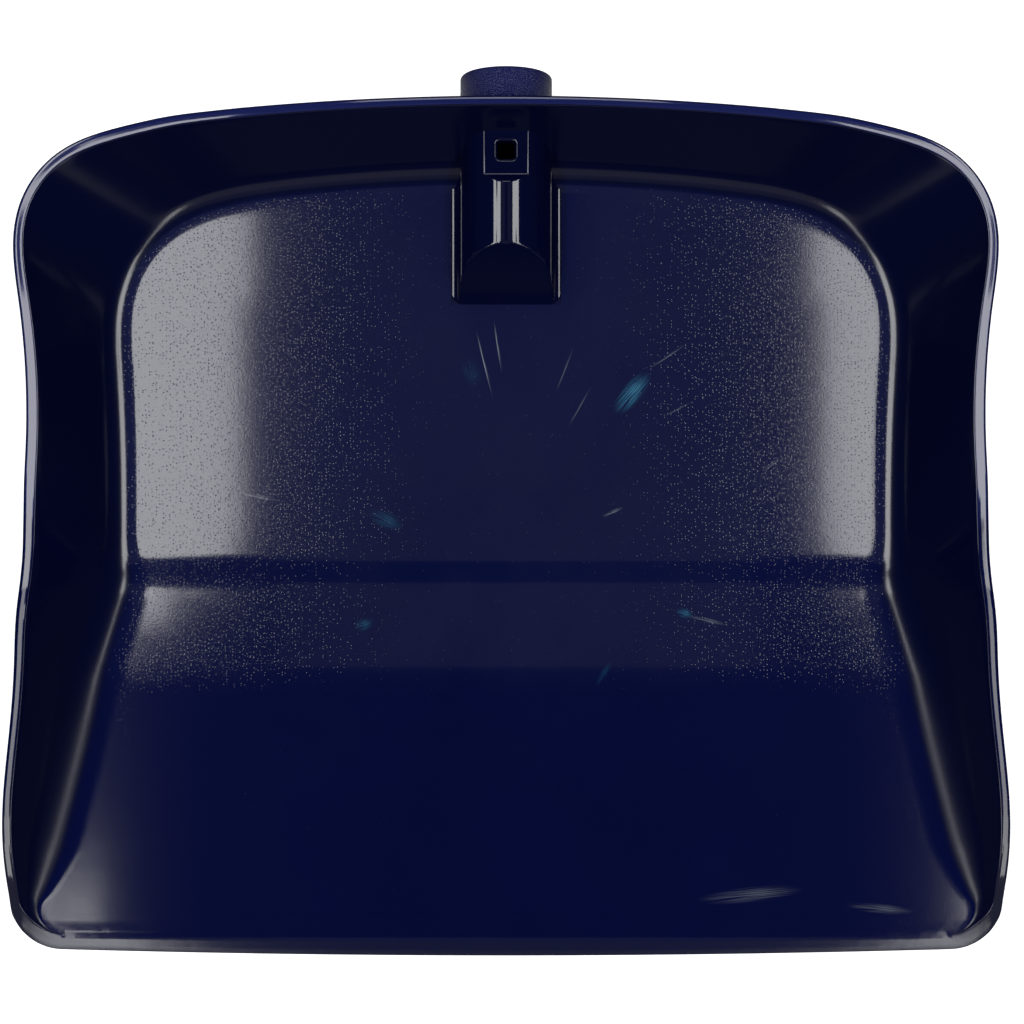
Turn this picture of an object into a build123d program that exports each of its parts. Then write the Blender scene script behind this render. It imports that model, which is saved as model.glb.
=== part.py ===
from build123d import *
import os
from math import radians, sin, sqrt, tan

# A moulded plastic dustpan with a socket for a push-in handle.
# X runs across the pan, Y from the front lip to the back, Z up from the ground.
# Lengths along Y are measured from the front edge of the lip.

# Pan as a whole
pan_length = 293.5
mouth_width = 353.4
mouth_corner_radius = 23.0
mouth_rim_radius = 24.0
lip_arch = 3.0
rim_height = 43.4
wall_width = 3.5

# Floor: level behind the crease, two slopes in front of it
floor_height = 12.0
floor_thickness = 3.0
crease_y = 136.4
crease_band = 6.0
crease_drop = 1.2
bend_y = 100.0
bend_height = 10.0
scoop_depth = 0.9
lip_bevel = 7.5
lip_top = 2.8
lip_edge = 0.8
lip_land = 20.0
floor_fillet = 6.0
under_fillet = 8.0

# Floor outline at the level of the rear floor, and how the walls lean out of it
crease_half = 132.3
rear_half = 136.0
waist_half = 133.8
shoulder_share = 0.65
shoulder_drop = 5.4
shoulder_radius = 80.0
corner_drop = 19.3
corner_radius = 34.0
crease_turn_radius = 60.0
crease_lean = 40.0
waist_lean = 32.0
rear_lean = 42.0
back_lean = 26.0
mouth_lean = 38.0

# Rim seen from the side
knee_y = 150.0
knee_radius = 45.0
rim_crown = 5.0
rim_edge_bevel = 0.6
rim_bevel_front = 36.0

# Handle socket
handle_diameter = 21.5
handle_clearance = 0.15
sleeve_wall = 1.6
sleeve_clearance = 0.1
sleeve_stop = 2.0
mouth_chamfer = 1.2
trough_wall = 3.1
tube_radius = 15.75
axis_rise = 5.75
boss_reach = 2.3
collar_length = 15.4
collar_edge_radius = 1.5

# Hood over the sleeve
hood_wall = 3.0
hood_half = 18.9
hood_nose_y = 229.0
nose_slope = 50.0
nose_corner_radius = 4.0
hood_pocket = 1.0
hood_clearance = 0.12
pad_half = 7.46
pad_front = 270.0
pad_ramp = 3.3
window_size = 6.0
window_y = 278.4
window_corner = 0.8

# Runners under the rear floor
runner_x = 88.0
runner_width = 3.2
runner_front = 146.0
runner_ramp = 14.0

# Room for cuts and blocks to run past the pan, and how near counts as the same place
overrun = 20.0
spare = 3.0
near = 0.01

# Sizes that follow from those above
rim_rise = rim_height - floor_height
mouth_half = mouth_width / 2 - wall_width
floor_back = pan_length - wall_width - rim_rise * tan(radians(back_lean))
floor_under = floor_height - floor_thickness
axis_height = floor_height + axis_rise
bore_radius = handle_diameter / 2 + handle_clearance
sleeve_radius = bore_radius + sleeve_wall
hole_radius = sleeve_radius + sleeve_clearance
ridge_height = axis_height + tube_radius
ridge_wall_y = floor_back + (ridge_height - floor_height) * tan(radians(back_lean)) + wall_width
collar_seat = ridge_wall_y + boss_reach
overall_length = collar_seat + collar_length
sleeve_top = axis_height + sleeve_radius
nose_run = (sleeve_top - floor_height) / tan(radians(nose_slope))
sleeve_front = hood_nose_y + hood_wall / sin(radians(nose_slope)) + nose_run + sleeve_clearance
pocket_floor = floor_height - hood_pocket
pocket_back = floor_back - floor_fillet
pad_height = axis_height + sqrt(tube_radius**2 - pad_half**2)
above_rim = rim_height + spare


def outline(level, grow):
    """Plan outline of the walls at a height, grown outwards, and running on past the lip."""
    rise = level - floor_height
    crease_x = crease_half + rise * tan(radians(crease_lean)) + grow
    waist_x = waist_half + rise * tan(radians(waist_lean)) + grow
    rear_x = rear_half + rise * tan(radians(rear_lean)) + grow
    mouth_x = mouth_half + (level - lip_top) * tan(radians(mouth_lean)) + grow
    front_x = mouth_x + (mouth_x - crease_x) * overrun / crease_y
    back_y = floor_back + rise * tan(radians(back_lean)) + grow
    corner_y = back_y - corner_drop
    waist_y = (crease_y + corner_y) / 2
    shoulder_x = rear_x * shoulder_share
    shoulder_y = back_y - shoulder_drop
    edges = [
        Line((-front_x, -overrun), (front_x, -overrun)),
        Line((front_x, -overrun), (crease_x, crease_y)),
        ThreePointArc((crease_x, crease_y), (waist_x, waist_y), (rear_x, corner_y)),
        Line((rear_x, corner_y), (shoulder_x, shoulder_y)),
        ThreePointArc((shoulder_x, shoulder_y), (0, back_y), (-shoulder_x, shoulder_y)),
        Line((-shoulder_x, shoulder_y), (-rear_x, corner_y)),
        ThreePointArc((-rear_x, corner_y), (-waist_x, waist_y), (-crease_x, crease_y)),
        Line((-crease_x, crease_y), (-front_x, -overrun)),
    ]
    face = make_face(edges)
    rounds = {corner_y: corner_radius, shoulder_y: shoulder_radius, crease_y: crease_turn_radius}
    for y, radius in rounds.items():
        turns = [v for v in face.vertices() if abs(v.Y - y) < near]
        face = fillet(turns, radius + grow)
    return Pos(0, 0, level) * face


def walls(foot, grow):
    """Solid inside the leaning walls, from the ground past their foot to above the rim."""
    return loft([outline(level, grow) for level in (0, foot, above_rim)], ruled=True)


def across(face):
    """Side-view face, in Y and Z, carried right across the pan."""
    return extrude(Plane.YZ * face, amount=mouth_width, both=True)


def floor_line():
    """Top of the floor in side view, from behind the pan to in front of the lip."""
    band_back = (crease_y + crease_band / 2, floor_height)
    band_front = (crease_y - crease_band / 2, floor_height - crease_drop)
    bend = (bend_y, bend_height)
    lip = (lip_bevel, lip_top)
    middle = ((bend[0] + lip[0]) / 2, (bend[1] + lip[1]) / 2 - scoop_depth)
    half_way = ((band_back[0] + band_front[0]) / 2, (band_back[1] + band_front[1]) / 2)
    rear = Line((overall_length, floor_height), band_back)
    upper = TangentArc(band_back, half_way, tangent=(-1, 0))
    lower = TangentArc(half_way, band_front, tangent=upper % 1)
    middle_floor = Line(band_front, bend)
    scoop = ThreePointArc(bend, middle, lip)
    lines = [rear, upper, lower, middle_floor, scoop, Line(lip, (-overrun, lip_top))]
    return lines


def round_feet(space, radius):
    """Round the edges where the lower faces of a space meet its walls, but not its open front."""
    lower = [face for face in space.faces() if face.normal_at().Z < -sqrt(0.5)]
    edges = [edge for face in lower for edge in face.edges()]
    feet = [edge for edge in edges if edges.count(edge) == 1 and edge.center().Y > near - overrun]
    return fillet(feet, radius)


def roof(front_z, back_z):
    """Side-view lines that close a floor line high above the rim."""
    top = above_rim + spare
    return [
        Line((-overrun, front_z), (-overrun, top)),
        Line((-overrun, top), (overall_length, top)),
        Line((overall_length, top), (overall_length, back_z)),
    ]


def mouth_opening():
    """Upright block with the plan of the space inside the rim and the lip, rounded at its front corners."""
    face = make_face(
        Polyline(
            (-mouth_half, lip_bevel), (mouth_half, lip_bevel), (mouth_half, overall_length),
            (-mouth_half, overall_length), close=True,
        )
    )
    corners = [v for v in face.vertices() if v.Y < crease_y]
    return extrude(fillet(corners, mouth_rim_radius), amount=above_rim)


def make_cavity():
    """Space inside the pan, rounded where the walls meet the floor."""
    space = walls(floor_height, 0) & across(make_face(floor_line() + roof(lip_top, floor_height)))
    return round_feet(space, floor_fillet) & mouth_opening()


def make_outside():
    """Space within the outer faces of the pan, rounded where they turn under the floor."""
    bend = (bend_y, bend_height - floor_thickness)
    under = [
        Line((overall_length, floor_under), (crease_y, floor_under)),
        Line((crease_y, floor_under), bend),
        Line(bend, (lip_land, 0)),
        Line((lip_land, 0), (-overrun, 0)),
    ]
    space = walls(floor_under, wall_width) & across(make_face(under + roof(0, floor_under)))
    return round_feet(space, under_fillet)


def below_rim():
    """Everything below the rim and the bevel of the lip, as seen from the side."""
    bevel = (lip_bevel, lip_top)
    knee = (knee_y, rim_height)
    crown = ((knee[0] + bevel[0]) / 2, (knee[1] + bevel[1]) / 2 + rim_crown)
    edges = [
        Line((0, 0), (0, lip_edge)),
        Line((0, lip_edge), bevel),
        ThreePointArc(bevel, crown, knee),
        Line(knee, (overall_length, rim_height)),
        Line((overall_length, rim_height), (overall_length, 0)),
        Line((overall_length, 0), (0, 0)),
    ]
    face = make_face(edges)
    rim_knee = [v for v in face.vertices() if abs(v.X - knee_y) < near]
    return across(fillet(rim_knee, knee_radius))


def mouth_plan():
    """Upright block with the plan of the mouth: arched front edge and rounded front corners."""
    half = mouth_width / 2
    edges = [
        ThreePointArc((-half, lip_arch), (0, 0), (half, lip_arch)),
        Line((half, lip_arch), (half, overall_length)),
        Line((half, overall_length), (-half, overall_length)),
        Line((-half, overall_length), (-half, lip_arch)),
    ]
    face = make_face(edges)
    corners = [v for v in face.vertices() if v.Y < crease_y]
    return extrude(fillet(corners, mouth_corner_radius), amount=above_rim)


def rod(radius, front, back):
    """Round bar along the socket's axis between two places along Y."""
    section = Plane.XZ.offset(-back) * Pos(0, axis_height) * Circle(radius)
    return extrude(section, amount=back - front)


def make_trough():
    """Half-round trough and boss that the sleeve lies in, with a sloping end under the floor."""
    depth = floor_under - (axis_height - tube_radius)
    front = sleeve_front - trough_wall
    bar = rod(tube_radius, front - depth, collar_seat)
    slope = Polyline(
        (front - depth, floor_under), (front - depth, 0), (front, 0), (front, floor_under - depth),
        close=True,
    )
    return bar - across(make_face(slope))


def make_runner(x):
    """Rib under the rear floor that the pan slides and rests on."""
    back = floor_back - under_fillet
    top = floor_under + floor_thickness / 2
    side = Polyline(
        (runner_front, top), (runner_front, floor_under), (runner_front + runner_ramp, 0),
        (back, 0), (back, top), close=True,
    )
    return Pos(x) * extrude(Plane.YZ * make_face(side), amount=runner_width / 2, both=True)


def footprint(grow, back):
    """Plan of the hood's foot, with rounded front corners."""
    half = hood_half + grow
    front = hood_nose_y - grow
    face = make_face(Polyline((-half, front), (half, front), (half, back), (-half, back), close=True))
    corners = [v for v in face.vertices() if v.Y < (front + back) / 2]
    return fillet(corners, nose_corner_radius + grow)


def tunnel(inset):
    """Half-round tunnel with hollow-curved feet and a sloping nose, cut down all round by an inset."""
    half = hood_half - inset
    radius = tube_radius - inset
    flare = half - radius
    foot_top = floor_height + flare
    hollow = (half - flare * sqrt(0.5), foot_top - flare * sqrt(0.5))
    nose = hood_nose_y + inset / sin(radians(nose_slope))
    section = [
        Line((-half, pocket_floor), (half, pocket_floor)),
        Line((half, pocket_floor), (half, floor_height)),
        ThreePointArc((half, floor_height), hollow, (radius, foot_top)),
        Line((radius, foot_top), (radius, axis_height)),
        ThreePointArc((radius, axis_height), (0, axis_height + radius), (-radius, axis_height)),
        Line((-radius, axis_height), (-radius, foot_top)),
        ThreePointArc((-radius, foot_top), (-hollow[0], hollow[1]), (-half, floor_height)),
        Line((-half, floor_height), (-half, pocket_floor)),
    ]
    length = collar_seat - hood_nose_y
    bar = extrude(Plane.XZ.offset(-collar_seat) * make_face(section), amount=length)
    slope_run = (above_rim - floor_height) / tan(radians(nose_slope))
    side = Polyline(
        (nose, pocket_floor), (nose, floor_height), (nose + slope_run, above_rim),
        (collar_seat, above_rim), (collar_seat, pocket_floor), close=True,
    )
    return bar & across(make_face(side))


def window(bottom):
    """Square hole for a handle's catch, upwards from a height."""
    square = Pos(0, window_y, bottom) * fillet(Rectangle(window_size, window_size).vertices(), window_corner)
    return extrude(square, amount=above_rim)


def make_hood(cavity):
    """Cover over the sleeve inside the pan, seated in a pocket of the floor."""
    plan = extrude(Pos(0, 0, pocket_floor) * footprint(0, collar_seat), amount=above_rim)
    cover = tunnel(0) & plan
    tongue = cover & extrude(Pos(0, 0, pocket_floor) * footprint(0, pocket_back), amount=hood_pocket)
    cover = (cover & cavity) + tongue
    ramp = Polyline(
        (pad_front - pad_ramp, ridge_height), (pad_front, pad_height), (collar_seat, pad_height),
        (collar_seat, ridge_height), close=True,
    )
    cover = cover - extrude(Plane.YZ * make_face(ramp), amount=pad_half, both=True)
    return cover - tunnel(hood_wall) - window(axis_height)


def make_sleeve():
    """Sleeve for the handle: a collar behind the pan and a thin tube inside it."""
    collar = rod(tube_radius, collar_seat, overall_length)
    rear = collar.edges().filter_by(GeomType.CIRCLE).sort_by(Axis.Y)[-1]
    sleeve = fillet(rear, collar_edge_radius) + rod(sleeve_radius, sleeve_front, collar_seat)
    sleeve = sleeve - rod(bore_radius, sleeve_front + sleeve_stop, overall_length)
    mouth = sleeve.edges().filter_by(GeomType.CIRCLE).sort_by(Axis.Y)[-1]
    return chamfer(mouth, mouth_chamfer) - window(axis_height)


def crest(solid, front):
    """Edges along the top faces of the rim, behind a place along Y."""
    cut_faces = solid.faces().filter_by(GeomType.PLANE) + solid.faces().filter_by(GeomType.CYLINDER)
    tops = [face for face in cut_faces if face.normal_at().Z > sqrt(0.5)]
    tops = [face for face in tops if face.center().Z > floor_height + floor_fillet]
    edges = [edge for face in tops for edge in face.edges()]
    return [edge for edge in edges if edges.count(edge) == 1 and edge.center().Y > front + near]


def make_shell(cavity):
    """Walls and floor, both edges of the rim eased, the inner one behind the mouth's corners."""
    block = make_outside() & below_rim() & mouth_plan()
    shell = chamfer(crest(block, mouth_corner_radius / 2), rim_edge_bevel) - cavity
    behind_corners = Plane.XZ.offset(-rim_bevel_front)
    front = shell.split(behind_corners, keep=Keep.TOP)
    rear = shell.split(behind_corners, keep=Keep.BOTTOM)
    inner = [edge for edge in crest(rear, rim_bevel_front) if cavity.distance_to(edge @ 0.5) < near]
    return chamfer(inner, rim_edge_bevel) + front


def make_pan(cavity):
    """Moulded pan: shell, trough and boss for the sleeve, pocket for the hood, and runners."""
    pan = make_shell(cavity) + (make_trough() - cavity)
    for side in (-1, 1):
        pan = pan + make_runner(side * runner_x)
    pocket_plan = footprint(hood_clearance, pocket_back + hood_clearance)
    pocket = extrude(Pos(0, 0, pocket_floor) * pocket_plan, amount=hood_pocket)
    hole = rod(hole_radius, sleeve_front - sleeve_clearance, collar_seat)
    return pan - pocket - hole


inside = make_cavity()
parts = {
    "pan_shell": make_pan(inside),
    "socket_hood": make_hood(inside),
    "handle_sleeve": make_sleeve(),
}

# The finished part stands with the middle of its length over the origin.
place = Pos(0, -overall_length / 2, 0)
os.makedirs("parts", exist_ok=True)
for name, solid in parts.items():
    export_step(place * solid, f"parts/{name}.step")
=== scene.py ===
# %% [markdown]
# # A moulded dustpan, dressed around its CAD frame
# The object is a wide dustpan of dark navy plastic with an empty socket for a push-in handle. Its shapes
# and sizes come from the CAD model, which is loaded first as a fixed frame in metres. Everything after that
# adds what CAD leaves out: even surfaces for clean reflections, plastic with its texture and wear, a studio
# and a camera.

# %% Load the frame
import math
import bpy
import numpy as np
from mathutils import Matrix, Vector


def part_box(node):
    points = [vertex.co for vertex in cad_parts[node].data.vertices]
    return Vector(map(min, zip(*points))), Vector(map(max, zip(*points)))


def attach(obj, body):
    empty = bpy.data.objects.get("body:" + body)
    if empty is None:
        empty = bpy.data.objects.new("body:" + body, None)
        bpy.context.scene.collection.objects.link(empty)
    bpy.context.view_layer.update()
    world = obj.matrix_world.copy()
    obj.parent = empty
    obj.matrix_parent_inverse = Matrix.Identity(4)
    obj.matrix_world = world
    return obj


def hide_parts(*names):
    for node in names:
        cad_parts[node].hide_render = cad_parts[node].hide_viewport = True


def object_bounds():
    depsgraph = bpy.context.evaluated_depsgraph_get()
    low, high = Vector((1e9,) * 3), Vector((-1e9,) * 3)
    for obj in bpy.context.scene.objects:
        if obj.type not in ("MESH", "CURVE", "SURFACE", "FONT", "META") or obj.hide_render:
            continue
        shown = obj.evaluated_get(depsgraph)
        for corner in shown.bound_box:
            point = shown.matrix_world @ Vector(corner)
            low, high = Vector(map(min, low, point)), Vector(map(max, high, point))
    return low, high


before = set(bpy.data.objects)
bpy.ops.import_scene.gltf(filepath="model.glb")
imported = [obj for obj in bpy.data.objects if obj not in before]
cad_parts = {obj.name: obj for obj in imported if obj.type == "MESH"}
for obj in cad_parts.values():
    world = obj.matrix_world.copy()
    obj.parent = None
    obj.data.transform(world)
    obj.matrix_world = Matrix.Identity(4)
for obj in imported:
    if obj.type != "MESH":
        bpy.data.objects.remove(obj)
cad_box = [list(corner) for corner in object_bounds()]
mm = 0.001
scene = bpy.context.scene
scene.view_settings.view_transform = "Standard"
print("CAD box in mm", [[round(value / mm, 1) for value in corner] for corner in cad_box])

# %% [markdown]
# ## The camera
# The photograph is taken from straight above, with the lip at the bottom. The widths of the rim and of the
# floor differ by perspective, and from that the lens is about 600 mm over the ground. A camera with no turn
# looks straight down with +Y at the top of the picture, so all it needs is its place and its lens.

# %% Put the camera over the pan
camera_place = (2.0 * mm, 3.7 * mm, 602 * mm)
floor_level = 12 * mm
picture_width_on_floor = 355.3 * mm
sensor_width = 36
bpy.ops.object.camera_add(location=camera_place, rotation=(0, 0, 0))
camera = bpy.context.object
camera.name = "photo_camera"
camera.data.sensor_width = sensor_width
camera.data.lens = sensor_width * (camera_place[2] - floor_level) / picture_width_on_floor
scene.camera = camera
print("lens", round(camera.data.lens, 2), "mm at", [round(value / mm, 1) for value in camera_place], "mm")

# %% [markdown]
# ## One function for nodes, one for colours
# Every material below is a small tree of nodes. One function adds a node, sets what it is given, links what
# it is given, and hands back one of the node's outputs, so that a tree reads as a list of steps. Colours
# are written as on a screen, in sRGB hex, and Blender's sockets want linear values, so one function turns
# the first into the second. Settings that come back often, such as a soft step from 0 to 1, have names.

# %% Helpers for materials
smooth_step = {"interpolation_type": "SMOOTHSTEP"}
times, times_plus = {"operation": "MULTIPLY"}, {"operation": "MULTIPLY_ADD"}
larger = {"operation": "MAXIMUM"}


def add_node(tree, kind, inputs=None, output=0, **settings):
    node = tree.nodes.new("ShaderNode" + kind)
    for name, value in settings.items():
        setattr(node, name, value)
    for key, value in (inputs or {}).items():
        if isinstance(value, bpy.types.NodeSocket):
            tree.links.new(value, node.inputs[key])
        else:
            node.inputs[key].default_value = value
    return node.outputs[output] if len(node.outputs) else node


def linear(hex_colour):
    shares = [int(hex_colour[place:place + 2], 16) / 255 for place in (1, 3, 5)]
    return tuple(c / 12.92 if c <= 0.04045 else ((c + 0.055) / 1.055) ** 2.4 for c in shares) + (1.0,)


def new_material(name):
    material = bpy.data.materials.new(name)
    material.use_nodes = True
    material.node_tree.nodes.clear()
    return material, material.node_tree


print("white is", linear("#FFFFFF"))

# %% [markdown]
# ## The studio
# The photograph has a white ground, and soft boxes to both sides that the glossy pan mirrors as pale bands.
# What lies farther off mirrors dark. So the ground is a pale sheet that the lamps light and the pan's
# shadow falls on, and it glows a little for the rays of the camera and of glossy surfaces. Away from the
# pan only the camera's own rays see it pale, and for all others it is dim.

# %% The ground
ground_size, ground_drop = 40, 0.4 * mm
pale_reach, dim_reach = 120 * mm, 180 * mm
pale_strength = 0.7
bpy.ops.mesh.primitive_plane_add(size=ground_size, location=(0, 0, -ground_drop))
ground = bpy.context.object
ground.name = "studio_ground"
bpy.ops.object.transform_apply()

paper, tree = new_material("matt_white_paper_ground")
rays = add_node(tree, "LightPath").node.outputs
seen = add_node(tree, "Math", {0: rays["Is Camera Ray"], 1: rays["Is Glossy Ray"]}, **larger)
seen = add_node(tree, "Math", {0: seen, 1: rays["Is Transmission Ray"]}, **larger)
place = add_node(tree, "TexCoord", output="Object")
away = add_node(tree, "VectorMath", {0: place}, "Value", operation="LENGTH")
near = add_node(tree, "MapRange", {0: away, 1: pale_reach, 2: dim_reach, 3: 1.0, 4: 0.0}, **smooth_step)
pale = add_node(tree, "Math", {0: near, 1: rays["Is Camera Ray"]}, **larger)
glow = add_node(tree, "Math", {0: seen, 1: pale}, **times)
glow = add_node(tree, "Math", {0: glow, 1: pale_strength}, **times)
fibre = add_node(tree, "TexNoise", {"Vector": place, "Scale": 1 / (3 * mm), "Detail": 3.0})
shade = add_node(tree, "Mix", {0: fibre, 6: linear("#E8E8E8"), 7: linear("#F4F4F4")}, 2, data_type="RGBA")
shade = add_node(tree, "Mix", {0: pale, 6: linear("#303030"), 7: shade}, 2, data_type="RGBA")
sheet = add_node(tree, "BsdfPrincipled", {"Base Color": shade, "Roughness": 0.9, "Specular IOR Level": 0.1,
                                          "Emission Color": (1, 1, 1, 1), "Emission Strength": glow})
add_node(tree, "OutputMaterial", {"Surface": sheet})
ground.data.materials.append(paper)
print("ground", ground.name)

# %% [markdown]
# Each soft box is a row of strips, because the pale bands in the pan have slanting ends. A lamp's place
# follows from where the pan mirrors it: the side boxes show in the floor, the edge strips in front of them
# in the rim and the front slope, and smaller lamps in front and behind in the lip, the rim and the collar.
# A dim sheet overhead stands for the ceiling, which the floor mirrors as a faint haze. Places are in
# millimetres: left, right, front and back.

# %% The soft boxes
lamp_level = 1000


def area_lamp(name, place, tilt, width, length, radiance):
    bpy.ops.object.light_add(type="AREA", location=place, rotation=(tilt, 0, 0))
    lamp = bpy.context.object
    lamp.name = name
    lamp.data.shape = "RECTANGLE"
    lamp.data.size, lamp.data.size_y = width, length
    lamp.data.energy = radiance * math.pi * width * length
    lamp.visible_camera = False


def mirrored(strips):
    return [(-right, -left, front, back) for left, right, front, back in strips]


side_strips = [(240, 412, 200, 272), (455, 590, 200, 272), (250, 600, -20, 200), (256, 560, -75, -20),
               (280, 560, -115, -75), (318, 560, -150, -115), (370, 560, -200, -150), (388, 560, -355, -200)]
edge_strips = [(436, 480, -470, -355), (430, 515, -650, -470), (440, 540, -790, -650),
               (460, 580, -1000, -790), (500, 660, -1300, -1000), (560, 760, -1800, -1300)]
left_back = [(-590, -240, 272, 305), (-380, -240, 305, 335), (-590, -450, 305, 560)]
right_back = [(282, 602, 272, 338), (462, 602, 338, 560)]
right_inner_shift, right_outer_shift = 42, 12
lip_strips = [(-500, -410, -1400, -1000), (455, 500, -1400, -1000), (-428, -392, -560, -462)]
back_strips = [(-150, 150, 430, 640)]
ceiling_strips = [(-215, 235, -215, 200), (-215, -50, 200, 310), (60, 235, 200, 310)]
right_strips = [(left + right_inner_shift, right + right_outer_shift, front, back)
                for left, right, front, back in side_strips]
boxes = (("side_left", left_back + mirrored(side_strips), 8.0),
         ("side_right", right_back + right_strips, 8.0),
         ("edge_left", mirrored(edge_strips), 4.8), ("edge_right", edge_strips, 4.8),
         ("lip", lip_strips, 6.0), ("back", back_strips, 4.0), ("dim_ceiling", ceiling_strips, 0.12))
for name, strips, radiance in boxes:
    for number, (left, right, front, back) in enumerate(strips):
        place = ((left + right) / 2 * mm, (front + back) / 2 * mm, lamp_level * mm)
        area_lamp(f"{name}_{number}", place, 0, (right - left) * mm, (back - front) * mm, radiance)

# %% [markdown]
# A dim wall stands in front, in two sheets, and the rounds at the back of the pan mirror it. The sky behind
# all of this is pale for the camera's rays and for rays through clear things, and nearly dark for the rest,
# so that it lights next to nothing and the plastic keeps its depth.

# %% The dim wall and the sky
wall_y, wall_span = -2.0, 3.0
sky_strength = 0.02
for name, low, high, radiance in (("dim_wall_low", 0.6, 1.7, 0.26), ("dim_wall_high", 1.7, 2.7, 0.12)):
    area_lamp(name, (0, wall_y, (low + high) / 2), math.pi / 2, wall_span, high - low, radiance)
world = bpy.data.worlds.new("dim_studio")
world.use_nodes = True
tree = world.node_tree
tree.nodes.clear()
rays = add_node(tree, "LightPath").node.outputs
seen = add_node(tree, "Math", {0: rays["Is Camera Ray"], 1: rays["Is Transmission Ray"]}, **larger)
strength = add_node(tree, "MapRange", {0: seen, 3: sky_strength, 4: pale_strength})
sky = add_node(tree, "Background", {"Color": linear("#F0F3FF"), "Strength": strength})
add_node(tree, "OutputWorld", {"Surface": sky})
scene.world = world
print("sky", world.name, "with", len(tree.nodes), "nodes")

# %% [markdown]
# ## The pan's sizes
# A CAD model arrives as long thin triangles, and on a glossy pan every one of them shows in the
# reflections. The pan is therefore modelled again here as even sheets of quads over the same shape. Its
# outlines follow the CAD model in millimetres, with Y measured from the front of the lip, and are eased
# where the photograph is softer.

# %% Sizes of the pan
lip_front = cad_box[0][1] / mm
rim_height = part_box("pan_shell")[1][2] / mm
wall_width, side_width, side_thickening = 3.6, 3.0, 0.052
mouth_half, mouth_lean = 172.3, 37.0
floor_height, floor_under = 12.0, 9.0
crease_y, crease_half, crease_lean, crease_turn = 136.4, 134.0, 38.8, 40.0
crease_band, crease_drop = 9.0, 1.2
bend_y, bend_height, bend_under, scoop_depth = 100.0, 10.0, 7.0, 0.9
waist_y, waist_half, waist_lean = 203.0, 136.0, 29.8
rear_half, rear_lean, corner_drop, corner_turn = 137.8, 42.9, 20.6, 31.5
turn_ease, crease_ease = 0.48, 3.0
shoulder_share, shoulder_drop, shoulder_turn = 0.65, 6.4, 98.0
floor_back, back_lean = 274.9, 26.7
lip_bevel, lip_top, lip_edge, lip_land, lip_arch = 7.5, 2.8, 0.8, 20.0, 3.0
rear_round, front_round, under_round, inner_round, outer_round = 12.0, 20.0, 8.0, 1.1, 0.7
above_rim = rim_height + 3.0
overrun = 20.0
flip_x, from_lip = np.array([-1, 1, 1]), np.array([0, lip_front, 0])


def lean(degrees):
    return math.tan(math.radians(degrees))


waist_top = waist_half + (rim_height - floor_height) * lean(waist_lean)
print("at the rim the waist is", round(waist_top, 1), "mm wide to a side inside")

# %% [markdown]
# ## Three lines seen from the side
# Seen from the side, three lines give all heights: the top of the rim and lip, the top of the floor, and
# its underside. The floor steps down at a crease and then bends towards the lip. A short running mean
# softens the bends, as the moulding does.

# %% Heights by distance from the lip
def circle_through(a, b, c):
    turn = 2 * (a[0] * (b[1] - c[1]) + b[0] * (c[1] - a[1]) + c[0] * (a[1] - b[1]))
    squares = [p[0] ** 2 + p[1] ** 2 for p in (a, b, c)]
    x = (squares[0] * (b[1] - c[1]) + squares[1] * (c[1] - a[1]) + squares[2] * (a[1] - b[1])) / turn
    y = (squares[0] * (c[0] - b[0]) + squares[1] * (a[0] - c[0]) + squares[2] * (b[0] - a[0])) / turn
    return (x, y), math.hypot(a[0] - x, a[1] - y)


knee = (168.9, rim_height)
bevel_top = (lip_bevel, lip_top)
crown_rise, knee_blend, arch_end, level_from = 7.5, 0.46, 240.0, 185.0
crown = ((knee[0] + lip_bevel) / 2, (knee[1] + lip_top) / 2 + crown_rise)
wave_rise, wave_y, wave_length, wave_end, wave_fade, wave_start = 1.25, 69.2, 104.0, 148.0, 45.0, 8.0
(crown_y, crown_z), crown_radius = circle_through(bevel_top, crown, knee)


def eased(share):
    share = np.clip(share, 0, 1)
    return share ** 2 * (3 - 2 * share)


def top_line(y):
    rise = crown_z + np.sqrt(np.maximum(crown_radius ** 2 - (np.clip(y, 0, arch_end) - crown_y) ** 2, 0))
    near = np.maximum(knee_blend - np.abs(rise - rim_height), 0) / knee_blend
    rise = np.where(y > level_from, rim_height, np.minimum(rise, rim_height) - near ** 2 * knee_blend / 4)
    fade = eased((wave_end - y) / wave_fade) * np.clip((y - lip_bevel) / wave_start, 0, 1)
    rise = rise + wave_rise * np.sin((wave_y - y) / wave_length * 2 * math.pi) * fade
    return np.where(y < lip_bevel, lip_edge + y * (lip_top - lip_edge) / lip_bevel, rise)


def bent_floor(y):
    band_front, band_back = crease_y - crease_band / 2, crease_y + crease_band / 2
    crease = floor_height - crease_drop * eased((band_back - y) / crease_band)
    middle = np.interp(y, [bend_y, band_front], [bend_height, floor_height - crease_drop])
    share = np.clip((y - lip_bevel) / (bend_y - lip_bevel), 0, 1)
    scoop = lip_top + (bend_height - lip_top) * share - 4 * scoop_depth * share * (1 - share)
    return np.where(y > band_front, crease, np.where(y > bend_y, middle, scoop))


def bent_under(y):
    return np.interp(y, [lip_land, bend_y, crease_y], [0, bend_under, floor_under])


def softened(line, y, reach):
    return sum(line(y + reach * share) for share in (-1, -0.5, 0, 0.5, 1)) / 5


floor_soft, under_soft = 2.5, 4.0


def floor_line(y):
    return softened(bent_floor, np.asarray(y, float), floor_soft)


def under_line(y):
    return softened(bent_under, np.asarray(y, float), under_soft)


print("floor at the lip, bend and back", floor_line([lip_bevel, bend_y, waist_y]).round(2))

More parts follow.
